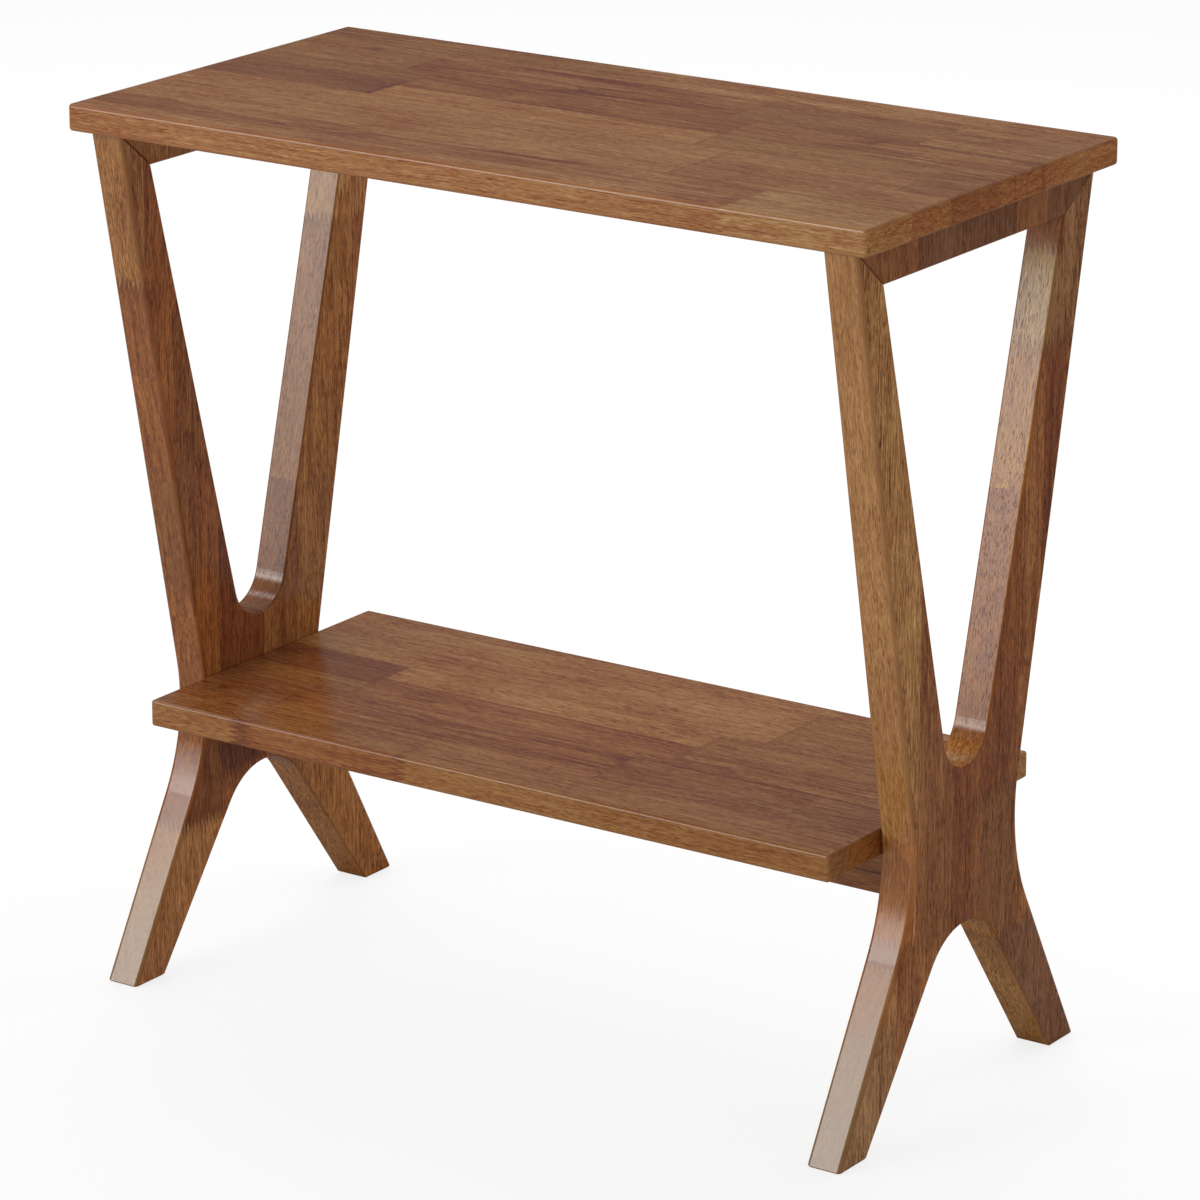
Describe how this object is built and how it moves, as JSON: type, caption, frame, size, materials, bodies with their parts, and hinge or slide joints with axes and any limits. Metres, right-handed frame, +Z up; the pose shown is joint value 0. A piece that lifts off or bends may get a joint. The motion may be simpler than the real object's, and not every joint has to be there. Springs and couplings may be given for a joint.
{
  "type": "end table with shelf",
  "caption": "Narrow wooden end table with a flat top, an open shelf and wishbone-shaped side frames whose legs meet in a waist at the shelf.",
  "frame": {"origin": "on the floor, under the middle of the tabletop", "axes": "+X along the long side of the top, to the right seen from the front; +Y from the front to the back; +Z up"},
  "size_m": [0.6, 0.3, 0.6],
  "materials": {
    "top_wood": "brown stain under satin lacquer, lengthwise edge-glued staves",
    "shelf_wood": "brown stain under satin lacquer, lengthwise edge-glued staves",
    "frame_wood": "brown stain under satin lacquer, grain along the leg",
    "dowel_wood": "plain beech, unfinished",
    "zinc_steel": "zinc plated",
    "cam_metal": "plain zinc die casting"
  },
  "bodies": {
    "root": {"left_cam_bolt": "zinc_steel", "left_cam_lock": "cam_metal", "left_front_leg": "frame_wood", "left_front_mitre_dowels": "dowel_wood", "left_rear_leg": "frame_wood", "left_rear_mitre_dowels": "dowel_wood", "left_seam_dowels": "dowel_wood", "left_shelf_dowels": "dowel_wood", "left_stretcher_dowel": "dowel_wood", "left_top_dowels": "dowel_wood", "left_top_rail": "frame_wood", "left_top_screws": "zinc_steel", "right_cam_bolt": "zinc_steel", "right_cam_lock": "cam_metal", "right_front_leg": "frame_wood", "right_front_mitre_dowels": "dowel_wood", "right_rear_leg": "frame_wood", "right_rear_mitre_dowels": "dowel_wood", "right_seam_dowels": "dowel_wood", "right_shelf_dowels": "dowel_wood", "right_stretcher_dowel": "dowel_wood", "right_top_dowels": "dowel_wood", "right_top_rail": "frame_wood", "right_top_screws": "zinc_steel", "shelf_board": "shelf_wood", "shelf_screws": "zinc_steel", "shelf_stretcher": "frame_wood", "tabletop": "top_wood"}
  },
  "joints": []
}
